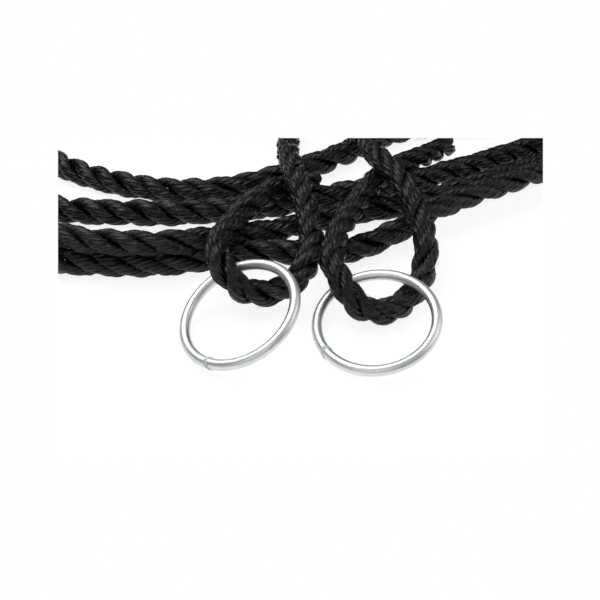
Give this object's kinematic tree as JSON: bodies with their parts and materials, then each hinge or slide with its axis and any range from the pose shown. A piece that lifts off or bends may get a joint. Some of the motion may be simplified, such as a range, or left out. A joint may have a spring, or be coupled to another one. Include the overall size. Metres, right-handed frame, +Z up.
{
  "type": "cargo climbing net",
  "caption": "Climbing net of thick twisted black rope, folded flat: border ropes with eyes that hold steel hanging rings, wound into coils, and rungs tucked through them.",
  "frame": {"origin": "on the floor, under the middle of the folded net's bounding box", "axes": "+X to the viewer's right along the rungs, +Y from the rings to the coils, +Z up"},
  "size_m": [0.4274, 0.4042, 0.0572],
  "materials": {
    "rope": "satin",
    "ring_steel": "satin"
  },
  "bodies": {
    "net": {"left_border_rope": "rope", "right_border_rope": "rope", "left_border_coil": "rope", "right_border_coil": "rope", "rung_1": "rope", "rung_2": "rope", "rung_3": "rope", "rung_4": "rope"},
    "left_ring": {"left_ring": "ring_steel"},
    "right_ring": {"right_ring": "ring_steel"}
  },
  "joints": [
    {"name": "left_ring_swing", "type": "hinge", "parent": "net", "child": "left_ring", "pos_m": [-0.04637, -0.13634, 0.0164], "axis": [-0.929, 0.0566, -0.3656], "range_deg": [0, 90]},
    {"name": "right_ring_swing", "type": "hinge", "parent": "net", "child": "right_ring", "pos_m": [0.01997, -0.14186, 0.0107], "axis": [-0.9777, -0.098, -0.1857], "range_deg": [0, 90]}
  ]
}
